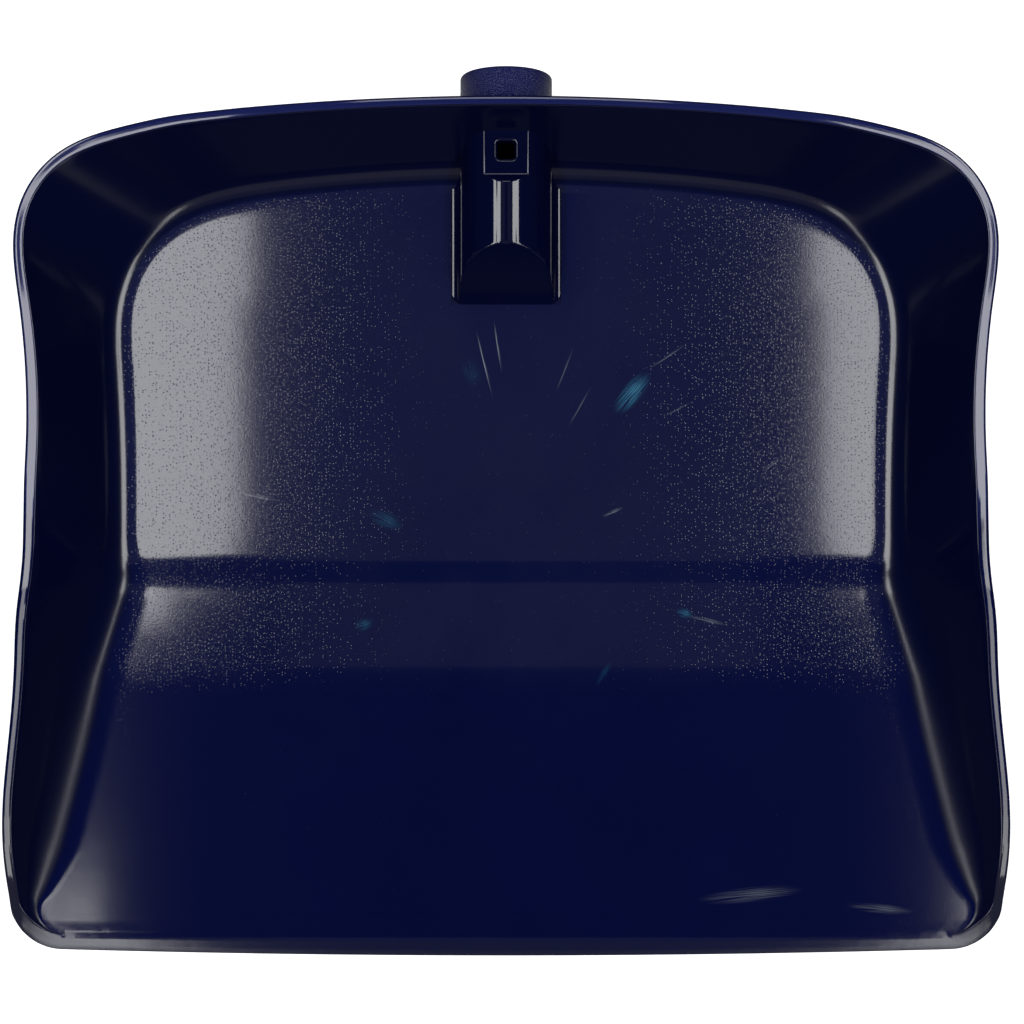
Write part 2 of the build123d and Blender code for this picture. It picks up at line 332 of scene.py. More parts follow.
# %% [markdown]
# ## The outline of the walls
# Seen from above, the walls follow straight runs and shallow arcs with rounded turns between them, wider
# the higher they are cut. Each run is kept as a fine polyline, and a turn is found by sliding a circle back
# along the first run until it just touches the second. Every height gets the same number of points, so that
# straight lines from height to height make the leaning walls.

# %% Runs and rounded turns
run_points, turn_passes = 800, 40


def arc_points(centre, radius, turn):
    return centre + radius * np.stack([np.cos(turn), np.sin(turn)], 1)


def run_between(*points):
    if len(points) == 2:
        return np.linspace(points[0], points[1], run_points)
    centre, radius = circle_through(*points)
    angles = np.unwrap([math.atan2(p[1] - centre[1], p[0] - centre[0]) for p in points])
    return arc_points(centre, radius, np.linspace(angles[0], angles[2], run_points))


def along(run, share_from, share_to, count):
    steps = np.linalg.norm(np.diff(run, axis=0), axis=1)
    reach = np.concatenate([[0], np.cumsum(steps)])
    places = np.linspace(share_from, share_to, count + 1) * reach[-1]
    return np.stack([np.interp(places, reach, run[:, axis]) for axis in (0, 1)], 1)


def round_turn(first, second, radius, count):
    ahead, after = first[-1] - first[-2], second[1] - second[0]
    side = np.sign(ahead[0] * after[1] - ahead[1] * after[0])
    low, high = 0.0, 1.0
    for _ in range(turn_passes):
        share = (low + high) / 2
        touch, nxt = along(first, share, min(share + 0.001, 1.0) + 1e-9, 1)
        heading = (nxt - touch) / np.linalg.norm(nxt - touch)
        centre = touch + radius * side * np.array([-heading[1], heading[0]])
        apart = np.linalg.norm(second - centre, axis=1)
        low, high = (share, high) if apart.min() > radius else (low, share)
    nearest = int(apart.argmin())
    spans = [p - centre for p in (touch, second[nearest])]
    angles = np.unwrap([math.atan2(s[1], s[0]) for s in spans])
    arc = arc_points(centre, radius, np.linspace(angles[0], angles[1], count + 1))
    return along(first, 0, share, run_points), arc, second[nearest:]


print("a run has", run_points, "points")

# %% Outlines at a height
run_counts = (44, 40, 8, 30)
turn_counts = (24, 24, 12)


def outline(level, outside, front_y):
    rise = level - floor_height
    grow, side_grow = outside * wall_width, outside * (side_width + side_thickening * rise)
    crease = (crease_half + rise * lean(crease_lean) + side_grow, crease_y)
    mouth_x = mouth_half + (level - lip_top) * lean(mouth_lean) + grow
    front = (mouth_x + (mouth_x - crease[0]) * overrun / crease_y, -overrun)
    back = (0.0, floor_back + rise * lean(back_lean) + grow)
    corner = (rear_half + rise * lean(rear_lean) + side_grow, back[1] - corner_drop)
    waist = (waist_half + rise * lean(waist_lean) + side_grow, waist_y)
    shoulder = (corner[0] * shoulder_share, back[1] - shoulder_drop)
    runs = [run_between(front, crease), run_between(crease, waist, corner), run_between(corner, shoulder),
            run_between(shoulder, back, (-shoulder[0], shoulder[1]))]
    turns = []
    radii = (crease_turn + max(rise, 0) * crease_ease,
             corner_turn + (rim_height - max(level, floor_height)) * turn_ease, shoulder_turn)
    for place, (radius, count) in enumerate(zip(radii, turn_counts)):
        runs[place], arc, runs[place + 1] = round_turn(runs[place], runs[place + 1], radius + grow, count)
        turns.append(arc)
    start = np.interp(front_y, runs[0][:, 1], np.linspace(0, 1, len(runs[0])))
    pieces = [along(runs[0], start, 1, run_counts[0])[:-1], turns[0][:-1],
              along(runs[1], 0, 1, run_counts[1])[:-1], turns[1][:-1],
              along(runs[2], 0, 1, run_counts[2])[:-1], turns[2][:-1],
              along(runs[3][runs[3][:, 0] > -1e-9], 0, 1, run_counts[3])]
    points = np.concatenate(pieces)
    points[-1, 0] = 0.0
    return points


rim_turn, mouth_turn = 16.5, 17.0
inner_edge_x, outer_edge_x, corner_setback = 170.3, 173.8, 2.4
inner_front, outer_front = lip_bevel + rim_turn, corner_setback + mouth_turn
inner_levels = {level: outline(level, 0, inner_front) for level in (0.0, floor_height, above_rim)}
outer_levels = {level: outline(level, 1, outer_front) for level in (0.0, floor_under, above_rim)}
print("points along half an outline", len(inner_levels[0.0]))

# %% [markdown]
# ## Four lines that carry the moulding
# The shell hangs on four lines round the pan: the foot of the inner wall, the inner edge of the rim, its
# outer edge, and the foot of the outer wall. Behind the mouth they are where the leaning walls meet the
# floor, the rim and the underside. Round the mouth's corners and along the lip they follow the rounded plan
# of the lip.

# %% Where the walls meet rim and floor
meeting_passes = 60


def wall_at(levels, heights):
    low, foot, high = sorted(levels)
    share_low = ((heights - low) / (foot - low))[:, None]
    share_high = ((heights - foot) / (high - foot))[:, None]
    below = levels[low] + (levels[foot] - levels[low]) * share_low
    above = levels[foot] + (levels[high] - levels[foot]) * share_high
    plan = np.where(heights[:, None] < foot, below, above)
    return np.column_stack([plan, heights])


def where_wall_meets(levels, line, start):
    heights = np.full(len(levels[0.0]), start)
    for _ in range(meeting_passes):
        heights = line(wall_at(levels, heights)[:, 1])
    return wall_at(levels, heights)


foot_in = where_wall_meets(inner_levels, floor_line, floor_height)
rim_in = where_wall_meets(inner_levels, top_line, rim_height)
rim_out = where_wall_meets(outer_levels, top_line, rim_height)
foot_out = where_wall_meets(outer_levels, under_line, floor_under)
print("the inner wall's foot is at most", foot_in[:, 0].max().round(1), "mm to a side")

# %% Round the mouth's corners and along the lip
def bow(centre, radius, start, end, count):
    turn = np.radians(np.linspace(start, end, count + 1))
    return arc_points(centre, radius, turn), arc_points((0, 0), 1, turn)


lip_count, bow_count = 50, 24
bow_centre = (inner_edge_x - rim_turn, inner_front)
lip_inner = np.linspace((0, lip_bevel), (bow_centre[0], lip_bevel), lip_count + 1)
bow_inner, bow_normals = bow(bow_centre, rim_turn, -90, 0, bow_count)
plan_in = np.concatenate([lip_inner[:-1], bow_inner[:-1]])
outward = np.concatenate([np.tile((0.0, -1.0), (lip_count, 1)), bow_normals[:-1]])

mouth_edge = 176.7
mouth_centre = (outer_edge_x - mouth_turn, outer_front)
lip_slope = 2 * lip_arch * mouth_centre[0] / mouth_edge ** 2
lip_reach = mouth_centre[0] + mouth_turn * lip_slope
lip_x = np.linspace(0, lip_reach, lip_count + 1)
lip_outer = np.stack([lip_x, lip_arch * (lip_x / mouth_edge) ** 2], 1)
bow_outer, _ = bow(mouth_centre, mouth_turn, math.degrees(lip_slope) - 90, 0, bow_count)
plan_out = np.concatenate([lip_outer[:-1], bow_outer[:-1]])

rise = np.maximum(top_line(plan_in[:, 1]) - floor_line(plan_in[:, 1]), 0)
lip_foot = plan_in - outward * (rise * lean(mouth_lean))[:, None]
front_foot_in = np.column_stack([lip_foot, floor_line(lip_foot[:, 1])])
front_rim_in = np.column_stack([plan_in, np.maximum(top_line(plan_in[:, 1]), floor_line(plan_in[:, 1]))])
front_rim_out = np.column_stack([plan_out, top_line(plan_out[:, 1])])
ground_slope = outer_levels[0.0][1] - outer_levels[0.0][0]
ground_wall = outer_levels[0.0][0, 0] + (plan_out[:, 1] - outer_front) * ground_slope[0] / ground_slope[1]
front_foot_out = np.column_stack([np.minimum(plan_out[:, 0], ground_wall), plan_out[:, 1], 0 * rise])


def all_round(front, behind):
    half = np.concatenate([front, behind])
    other = half[-2:0:-1] * flip_x
    return np.concatenate([half, other])


foot_in, rim_in = all_round(front_foot_in, foot_in), all_round(front_rim_in, rim_in)
rim_out, foot_out = all_round(front_rim_out, rim_out), all_round(front_foot_out, foot_out)
around = len(rim_in)
print("points round the pan", around, "rim from", rim_out.min(0).round(1), "to", rim_out.max(0).round(1))

# %% [markdown]
# Where one kind of run meets the next, a glossy surface shows the joint as a kink. A few passes of a
# running mean over the points near a joint take it away, and many passes over the rear corners give them
# their easy sweep.

# %% Soften the joints and the rear corners
def soften_joint(line, first, last, passes):
    mirror = [(around - place) % around for place in range(first, last + 1)]
    for _ in range(passes):
        middle = (np.roll(line, 1, 0) + np.roll(line, -1, 0)) / 2
        for place in list(range(first, last + 1)) + mirror:
            line[place] = (line[place] + middle[place]) / 2


joint = lip_count + bow_count
rear_turn = joint + run_counts[0] + turn_counts[0] + run_counts[1]
rear_end = rear_turn + turn_counts[1] + run_counts[2] + turn_counts[2]
joint_reach, joint_passes, rear_reach, rear_passes = 3, 5, 4, 40
for carrier in (foot_in, rim_in, rim_out, foot_out):
    soften_joint(carrier, joint - joint_reach, joint + joint_reach, joint_passes)
    soften_joint(carrier, rear_turn - rear_reach, rear_end + rear_reach, rear_passes)
print("softened round points", joint, "and", rear_turn, "to", rear_end)

# %% [markdown]
# ## From lines to a closed shell
# At every point of the four lines a cross-section is drawn: a little of the floor, the round into the wall,
# the wall, the rim with its two softened edges, the outer wall, the round under the pan, and a little of
# the underside. A grid primitive takes these sections as its rows. Two more grids close the floor and the
# underside.

# %% Tools for the sections
def unit(vectors):
    return vectors / np.maximum(np.linalg.norm(vectors, axis=1), 1e-9)[:, None]


def inward(line, height_line):
    heading = np.roll(line, -1, 0) - np.roll(line, 1, 0)
    normal = unit(np.column_stack([-heading[:, 1], heading[:, 0]]))
    slope = (height_line(line[:, 1] + 0.5) - height_line(line[:, 1] - 0.5))
    return unit(np.column_stack([normal, slope * normal[:, 1]]))


def round_between(corner, one, two, radius, room_one, room_two, count):
    half = np.arccos(np.clip((one * two).sum(1), -0.9999, 0.9999)) / 2
    radius = np.minimum(radius, np.minimum(room_one, room_two) * np.tan(half))
    centre = corner + unit(one + two) * (radius / np.sin(half))[:, None]
    start = corner + one * (radius / np.tan(half))[:, None] - centre
    end = corner + two * (radius / np.tan(half))[:, None] - centre
    turn = np.pi - 2 * half
    rows = []
    for share in np.linspace(0, 1, count + 1):
        first = (np.sin((1 - share) * turn) / np.sin(turn))[:, None]
        second = (np.sin(share * turn) / np.sin(turn))[:, None]
        rows.append(centre + start * first + end * second)
    return rows


def rows_between(first, last, count):
    return [first + (last - first) * share for share in np.linspace(0, 1, count + 1)[1:-1]]


print("sections are drawn at", around, "points")

# %% Sections round the pan
floor_in, floor_out = inward(foot_in, floor_line), inward(foot_out, under_line)
wall_up, rim_over, wall_down = unit(rim_in - foot_in), unit(rim_out - rim_in), unit(foot_out - rim_out)
wall_room = np.linalg.norm(rim_in - foot_in, axis=1)
rim_room = np.linalg.norm(rim_out - rim_in, axis=1)
outer_room = np.linalg.norm(foot_out - rim_out, axis=1)
flat = np.column_stack([-floor_in[:, :2] * 0.6, np.full(around, 0.8)])
wall_up = np.where(wall_room[:, None] > 0.02, wall_up, flat)
plenty = np.full(around, 50.0)

round_change, change_length = crease_y + 14, 22
floor_round = eased((round_change - foot_in[:, 1]) / change_length)
floor_round = rear_round + (front_round - rear_round) * floor_round
# A round may take up a share of the faces beside it, and has a number of rows
floor_arc = round_between(foot_in, floor_in, wall_up, floor_round, plenty, wall_room * 0.6, 10)
inner_edge = round_between(rim_in, -wall_up, rim_over, inner_round, wall_room * 0.3, rim_room * 0.2, 6)
outer_edge = round_between(rim_out, -rim_over, wall_down, outer_round, rim_room * 0.38, outer_room * 0.35, 5)
under_arc = round_between(foot_out, -wall_down, floor_out, under_round, outer_room * 0.5, plenty, 6)
floor_margin = [floor_arc[0] + floor_in * reach for reach in (4.0, 2.0)]
under_margin = [under_arc[-1] + floor_out * reach for reach in (2.0, 4.0)]
for row in floor_margin:
    row[:, 2] = floor_line(row[:, 1])
for row in under_margin:
    row[:, 2] = under_line(row[:, 1])
ring = (floor_margin + floor_arc + rows_between(floor_arc[-1], inner_edge[0], 14) + inner_edge
        + rows_between(inner_edge[-1], outer_edge[0], 3) + outer_edge
        + rows_between(outer_edge[-1], under_arc[0], 12) + under_arc + under_margin)
ring = np.array([np.concatenate([row, row[:1]]) for row in ring])
print("sections", ring.shape[1], "with", ring.shape[0], "points each")

# %% Sheets across the floor and the underside
front_corner = lip_count + bow_count // 2
back_corner = rear_turn + turn_counts[1] // 2
front_bend_length, back_bend_from = 45.0, 165.0


def sheet_inside(loop, height_line):
    right = loop[front_corner:back_corner + 1]
    left = right * flip_x
    front = np.concatenate([loop[around - front_corner:], loop[:front_corner + 1]])
    back = loop[back_corner:around - back_corner + 1][::-1]
    share = np.linspace(0, 1, len(front))[:, None]
    front_bend = front - (left[0] + (right[0] - left[0]) * share)
    back_bend = back - (left[-1] + (right[-1] - left[-1]) * share)
    rows = []
    for place in range(len(right)):
        straight = left[place] + (right[place] - left[place]) * share
        y = right[place][1]
        near_front = np.clip(1 - (y - right[0][1]) / front_bend_length, 0, 1) ** 2
        near_back = np.clip((y - back_bend_from) / (right[-1][1] - back_bend_from), 0, 1) ** 1.5
        row = straight + near_front * front_bend + near_back * back_bend
        if 0 < place < len(right) - 1:
            row[1:-1, 2] = height_line(row[1:-1, 1])
        rows.append(row)
    return np.array(rows)


floor_sheet = sheet_inside(ring[0][:-1], floor_line)
under_sheet = sheet_inside(ring[-1][:-1], under_line)
print("floor sheet", floor_sheet.shape)

# %% Grids become the shell
seam_gap = 0.003


def select_only(*pieces):
    bpy.ops.object.select_all(action="DESELECT")
    for piece in pieces:
        piece.select_set(True)
    bpy.context.view_layer.objects.active = pieces[0]


def edit_whole(piece, operator, **settings):
    select_only(piece)
    bpy.ops.object.mode_set(mode="EDIT")
    bpy.ops.mesh.select_all(action="SELECT")
    operator(**settings)
    bpy.ops.object.mode_set(mode="OBJECT")


def lay_grid(name, rows):
    across, along_y = rows.shape[1] - 1, rows.shape[0] - 1
    bpy.ops.mesh.primitive_grid_add(x_subdivisions=across, y_subdivisions=along_y, size=1)
    grid = bpy.context.object
    grid.name = name
    points = (rows.reshape(-1, 3) + from_lip) * mm
    grid.data.vertices.foreach_set("co", points.reshape(-1))
    grid.data.update()
    return grid


def join_sheets(name, grids):
    select_only(*grids)
    bpy.ops.object.join()
    shell = bpy.context.object
    shell.name = name
    edit_whole(shell, bpy.ops.mesh.remove_doubles, threshold=seam_gap * mm)
    edit_whole(shell, bpy.ops.mesh.normals_make_consistent, inside=False)
    return shell


pan = join_sheets("pan_moulding", [lay_grid("ring", ring), lay_grid("floor", floor_sheet),
                                   lay_grid("under", under_sheet)])
loose = [edge for edge in pan.data.edges if edge.is_loose]
print(pan.name, len(pan.data.polygons), "faces", len(loose), "loose edges")

# %% [markdown]
# ## Trough, boss and runners
# Under the floor a half-round trough carries the sleeve, a boss behind the back wall holds its collar, and
# two low runners keep the rear floor off the ground. Each starts as a primitive at its size and place, is
# cut by bisect planes, and is then joined to the shell by a Boolean modifier, which the moulding does in
# one shot of plastic. Two more Booleans cut the round hole for the sleeve and the shallow pocket that the
# hood's foot sits in.

# %% Tools for joining and cutting
rod_sides = 128


def put(x, y, z):
    return (x * mm, (y + lip_front) * mm, z * mm)


def rod_along_y(radius, front, back, height):
    middle = put(0, (front + back) / 2, height)
    bpy.ops.mesh.primitive_cylinder_add(vertices=rod_sides, radius=radius * mm, depth=(back - front) * mm,
                                        location=middle, rotation=(math.pi / 2, 0, 0))
    bpy.ops.object.transform_apply()
    return bpy.context.object


def block(low, high):
    middle = [(a + b) / 2 for a, b in zip(low, high)]
    sides = [(b - a) * mm for a, b in zip(low, high)]
    bpy.ops.mesh.primitive_cube_add(size=1, location=put(*middle), scale=sides)
    bpy.ops.object.transform_apply()
    return bpy.context.object


def cut_away(piece, point, side):
    edit_whole(piece, bpy.ops.mesh.bisect, plane_co=put(*point), plane_no=side, use_fill=True,
               clear_outer=True)


def merge_into(target, tool, operation):
    select_only(target)
    step = target.modifiers.new(operation.lower(), "BOOLEAN")
    step.operation = operation
    step.solver = "EXACT"
    step.object = tool
    bpy.ops.object.modifier_apply(modifier=step.name)
    bpy.data.objects.remove(tool, do_unlink=True)
    print(operation.lower(), "leaves", len(target.data.polygons), "faces")


print("the lip's front is at", put(0, 0, 0))

# %% Socket and runners under the pan
axis_height, tube_radius, hole_radius = 17.75, 15.75, 12.6
collar_seat, sleeve_front, sleeve_clearance = 290.97, 248.33, 0.1
trough_wall, trough_back, boss_front, hole_back = 3.1, 284, 262, 300
trough_sink, boss_sink, runner_sink = 1.4, 1.8, 1.5
runner_x, runner_half, runner_front, runner_ramp, runner_gap = 88, 1.6, 146, 14, 8
pocket_half, pocket_front, pocket_gap, pocket_low, pocket_high = 19.02, 228.88, 5.88, 11, 15
trough_front, trough_depth = sleeve_front - trough_wall, floor_under - (axis_height - tube_radius)
trough = rod_along_y(tube_radius, trough_front - trough_depth, trough_back, axis_height)
cut_away(trough, (0, 0, floor_under + trough_sink), (0, 0, 1))
cut_away(trough, (0, trough_front - trough_depth, floor_under), (0, -1, -1))
merge_into(pan, trough, "UNION")
boss = rod_along_y(tube_radius, boss_front, collar_seat, axis_height)
cut_away(boss, (0, floor_back + boss_sink, floor_height), (0, -1, lean(back_lean)))
merge_into(pan, boss, "UNION")
for side in (-1, 1):
    runner = block((side * runner_x - runner_half, runner_front, 0),
                   (side * runner_x + runner_half, floor_back - runner_gap, floor_under + runner_sink))
    cut_away(runner, (0, runner_front, floor_under), (0, -floor_under, -runner_ramp))
    merge_into(pan, runner, "UNION")
hole = rod_along_y(hole_radius, sleeve_front - sleeve_clearance, hole_back, axis_height)
merge_into(pan, hole, "DIFFERENCE")
pocket = block((-pocket_half, pocket_front, pocket_low), (pocket_half, floor_back - pocket_gap, pocket_high))
merge_into(pan, pocket, "DIFFERENCE")

# %% [markdown]
# ## The hood
# The hood is the upper half of the tunnel that the handle slides into. Its section is a half circle on
# short upright sides with hollow-curved feet, and it ends in a flat sloping nose. Near the back wall a flat
# pad is cut into its ridge, with a small square window for a handle's catch. The section is swept along Y
# as one grid, which the nose, the pad and the window cut, and Solidify gives the cover its wall.

# %% Section of the hood
hood_half, nose_y, nose_slope, foot_flare = 18.9, 229.0, 50.0, 3.15
pad_half, pad_front, window_y, window_half = 7.46, 270.0, 278.4, 3.0
window_zone, pad_zone, ridge_half, foot_turn = 4.2, 6.0, 9.0, 4.0
end_overlap, skirt_height, spare = 0.4, floor_height - 0.9, 0.1
pad_height = axis_height + math.sqrt(tube_radius ** 2 - pad_half ** 2)
ridge_x = np.unique(np.concatenate([np.linspace(0, window_zone, 36), np.linspace(window_zone, pad_zone, 6),
                                    np.linspace(pad_zone, ridge_half, 22)]))
side_angle = np.linspace(math.asin(ridge_half / tube_radius), math.pi / 2, 26)[1:]
foot_angle = np.linspace(math.pi, 1.5 * math.pi, 17)[1:]
section_x = np.concatenate([ridge_x, tube_radius * np.sin(side_angle), np.full(3, tube_radius),
                            hood_half + foot_flare * np.cos(foot_angle), [hood_half]])
section_z = np.concatenate([axis_height + np.sqrt(tube_radius ** 2 - ridge_x ** 2),
                            axis_height + tube_radius * np.cos(side_angle),
                            np.linspace(axis_height, floor_height + foot_flare, 4)[1:],
                            floor_height + foot_flare + foot_flare * np.sin(foot_angle), [skirt_height]])
foot_corner = np.clip(section_x - (hood_half - foot_turn), 0, foot_turn)
front_line = nose_y + foot_turn - np.sqrt(foot_turn ** 2 - foot_corner ** 2)
end_rise = np.maximum(np.minimum(section_z, pad_height) - floor_height, 0)
back_line = floor_back + end_overlap + end_rise * lean(back_lean)
print("points in half a section", len(section_x))

# %% [markdown]
# Every row of the hood's grid is this section, lowered where the nose, the pad or the window cuts it.
# Taking the lower of two heights with a soft change between them gives each cut the small round of a
# moulded edge.

# %% Rows along the hood
nose_blend, pad_blend, ramp_slope, ramp_sharpness, window_depth = 0.2, 0.28, 0.83, 8, 3.0


def lower_of(one, two, blend):
    near = np.maximum(blend - np.abs(one - two), 0)
    return np.minimum(one, two) - near ** 2 / (4 * blend)


def window_drop(x, y):
    turn, edge = 1.0, 0.9
    reach = np.maximum(np.stack([np.abs(x), np.abs(y - window_y)]) - (window_half - turn), 0)
    outside = np.hypot(reach[0], reach[1]) - turn
    into = np.clip(edge - outside, 0, edge)
    return np.where(outside < 0, window_depth, edge - np.sqrt(edge ** 2 - into ** 2))


def hood_row(y):
    height = lower_of(section_z, floor_height + (y - front_line) * lean(nose_slope), nose_blend)
    ramp = pad_height + np.logaddexp(0, (pad_front - y) * ramp_sharpness) / ramp_sharpness * ramp_slope
    height = np.where(section_x < ridge_half + spare, lower_of(height, ramp, pad_blend), height)
    height = height - np.where(section_x < window_zone + spare, window_drop(section_x, y), 0)
    return np.column_stack([section_x, y, height])


nose_length, ridge_end, window_front, window_back = 20, 266, 274.2, 282.6
nose_rows = [front_line + reach for reach in np.linspace(0, nose_length, 60)]
ridge_rows = [nose_rows[-1] + (ridge_end - nose_rows[-1]) * share for share in np.linspace(0, 1, 9)[1:]]
steps = np.concatenate([np.linspace(ridge_end, window_front, 42)[1:],
                        np.linspace(window_front, window_back, 71)[1:]])
pad_rows = [np.minimum(y, back_line) for y in steps]
end_rows = [pad_rows[-1] + (back_line - pad_rows[-1]) * share for share in np.linspace(0, 1, 6)[1:]]
skin = [hood_row(y) for y in nose_rows + ridge_rows + pad_rows + end_rows]
skirt = skin[0].copy()
skirt[:, 2] = skirt_height
skin = np.array([np.concatenate([row[:0:-1] * flip_x, row]) for row in [skirt] + skin])
print("hood skin", skin.shape)

# %% [markdown]
# The sunken bottom of the window is selected by its place and deleted, which leaves a square opening with
# rounded edges. Solidify then thickens the skin inwards, so that the outside keeps its size.

# %% Open the window and give the hood its wall
window_bottom, window_reach, hood_wall = 29.2, 4, 1.8
hood = join_sheets("hood_moulding", [lay_grid("skin", skin)])
places = np.empty(len(hood.data.vertices) * 3)
hood.data.vertices.foreach_get("co", places)
spots = places.reshape(-1, 3) / mm - from_lip
bpy.ops.object.mode_set(mode="EDIT")
bpy.ops.mesh.select_mode(type="FACE")
bpy.ops.mesh.select_all(action="DESELECT")
bpy.ops.object.mode_set(mode="OBJECT")
for face in hood.data.polygons:
    corners = spots[list(face.vertices)]
    face.select = bool((corners[:, 2] < window_bottom).all() and (np.abs(corners[:, 0]) < window_reach).all()
                       and (np.abs(corners[:, 1] - window_y) < window_reach).all())
bpy.ops.object.mode_set(mode="EDIT")
bpy.ops.mesh.delete(type="FACE")
bpy.ops.object.mode_set(mode="OBJECT")
wall = hood.modifiers.new("wall", "SOLIDIFY")
wall.thickness = hood_wall * mm
wall.offset = -1
select_only(hood)
bpy.ops.object.modifier_apply(modifier=wall.name)
print(hood.name, len(hood.data.polygons), "faces")

# %% [markdown]
# ## The sleeve
# The sleeve is turned all round, so its CAD triangles are already even. A copy of the node is joined at its
# corners and shaded smoothly, which is all that a matt part needs.

# %% Copy of the sleeve
sleeve_gap = 0.004
sleeve = bpy.data.objects.new("sleeve_moulding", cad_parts["handle_sleeve"].data.copy())
scene.collection.objects.link(sleeve)
edit_whole(sleeve, bpy.ops.mesh.remove_doubles, threshold=sleeve_gap * mm)
print(sleeve.name, len(sleeve.data.polygons), "faces")

# %% [markdown]
# Smooth shading by angle keeps the crisp edges crisp and lets all softer bends flow. Each moulding then
# rides on the one body that the part has, and stands for its CAD node.

# %% Smooth and seat the three mouldings
crisp_angle = math.radians(35)
for piece, node, slot in ((pan, "pan_shell", "gloss_navy"), (hood, "socket_hood", "gloss_navy"),
                          (sleeve, "handle_sleeve", "matte_navy")):
    select_only(piece)
    bpy.ops.object.shade_smooth_by_angle(angle=crisp_angle)
    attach(piece, "root")
    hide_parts(node)
    print(piece.name, "stands for", node)

# %% [markdown]
# ## Moulded polypropylene, glossy
# The pan is injection-moulded polypropylene in a dark navy masterbatch. Finely blasted steel gave the walls
# a satin gloss. The floor is glossier and has the fine pits and peel of worn steel, which show as dark dots
# where the floor mirrors a soft box and as bright dots beside it. Sweeping has worn the middle smoother.
# First come masks, by place and by which way a face looks.

# %% Masks of the pan's plastic
gloss, tree = new_material("moulded_polypropylene_navy")
place = add_node(tree, "TexCoord", output="Object")
axes = add_node(tree, "SeparateXYZ", {0: place}).node.outputs
normal = add_node(tree, "NewGeometry", output="Normal")
facing = add_node(tree, "SeparateXYZ", {0: normal}, "Z")
upward = add_node(tree, "MapRange", {0: facing, 1: 0.93, 2: 0.985}, **smooth_step)
below_rim = add_node(tree, "MapRange", {0: axes[2], 1: 20 * mm, 2: 28 * mm, 3: 1.0, 4: 0.0}, **smooth_step)
floor_only = add_node(tree, "Math", {0: upward, 1: below_rim}, **times)
rear = add_node(tree, "MapRange", {0: axes[1], 1: -62 * mm, 2: -48 * mm, 3: 0.15, 4: 1.0}, **smooth_step)
pitted = add_node(tree, "Math", {0: floor_only, 1: rear}, **times)
aside = add_node(tree, "Math", {0: axes[0]}, operation="ABSOLUTE")
unworn = add_node(tree, "MapRange", {0: aside, 1: 20 * mm, 2: 95 * mm, 3: 0.28, 4: 1.0}, **smooth_step)
print("masks read", place.name, "and", normal.name)

# %% [markdown]
# Pits are Voronoi cells with a bowl at the heart of each. A cell's own random number sets how deep its bowl
# is, and a power of it leaves fewer deep ones than faint ones. The bump's height is in millimetres.

# %% Relief of the pan's plastic
peel_depth, ripple_depth = 0.004, 0.006
flat_place = add_node(tree, "VectorMath", {0: place, 1: (1.0, 1.0, 0.0)}, **times)
height = 0.0
for spacing, radius, power, drop in ((1.2, 0.22, 2.0, 0.05), (0.6, 0.22, 2.0, 0.009)):
    cells = add_node(tree, "TexVoronoi", {"Vector": flat_place, "Scale": 1 / (spacing * mm)},
                     voronoi_dimensions="2D", feature="F1").node.outputs
    chance = add_node(tree, "SeparateColor", {0: cells["Color"]})
    depth = add_node(tree, "Math", {0: chance, 1: power}, operation="POWER")
    bowl = add_node(tree, "MapRange", {0: cells["Distance"], 1: 0.0, 2: radius, 3: 1.0, 4: 0.0},
                    **smooth_step)
    pit = add_node(tree, "Math", {0: bowl, 1: depth}, **times)
    height = add_node(tree, "Math", {0: pit, 1: -drop, 2: height}, **times_plus)
peel = add_node(tree, "TexNoise", {"Vector": place, "Scale": 1 / (0.9 * mm), "Detail": 1.0})
height = add_node(tree, "Math", {0: peel, 1: peel_depth, 2: height}, **times_plus)
for mask in (pitted, unworn):
    height = add_node(tree, "Math", {0: height, 1: mask}, **times)
wave = add_node(tree, "TexNoise", {"Vector": place, "Scale": 1 / (6 * mm), "Detail": 1.0})
height = add_node(tree, "Math", {0: wave, 1: ripple_depth, 2: height}, **times_plus)
print("pits and peel in", tree.name)

# %% [markdown]
# The lip is pushed over hard floors, so its bevel is a little dented. The dents are one more noise, which a
# mask keeps to the low front edge.

# %% Dents in the lip
dent_depth = 0.06
lip_low = add_node(tree, "MapRange", {0: axes[2], 1: 4 * mm, 2: 7 * mm, 3: 1.0, 4: 0.0}, **smooth_step)
lip_worn = add_node(tree, "MapRange", {0: axes[1], 1: -140 * mm, 2: -144 * mm}, **smooth_step)
lip_worn = add_node(tree, "Math", {0: lip_low, 1: lip_worn}, **times)
dent = add_node(tree, "TexNoise", {"Vector": place, "Scale": 1 / (12 * mm), "Detail": 3.0})
dent = add_node(tree, "Math", {0: dent, 1: lip_worn}, **times)
height = add_node(tree, "Math", {0: dent, 1: dent_depth, 2: height}, **times_plus)
relief = add_node(tree, "Bump", {"Strength": 1.0, "Distance": mm, "Height": height})
print("dents in the lip feed", relief.node.name)
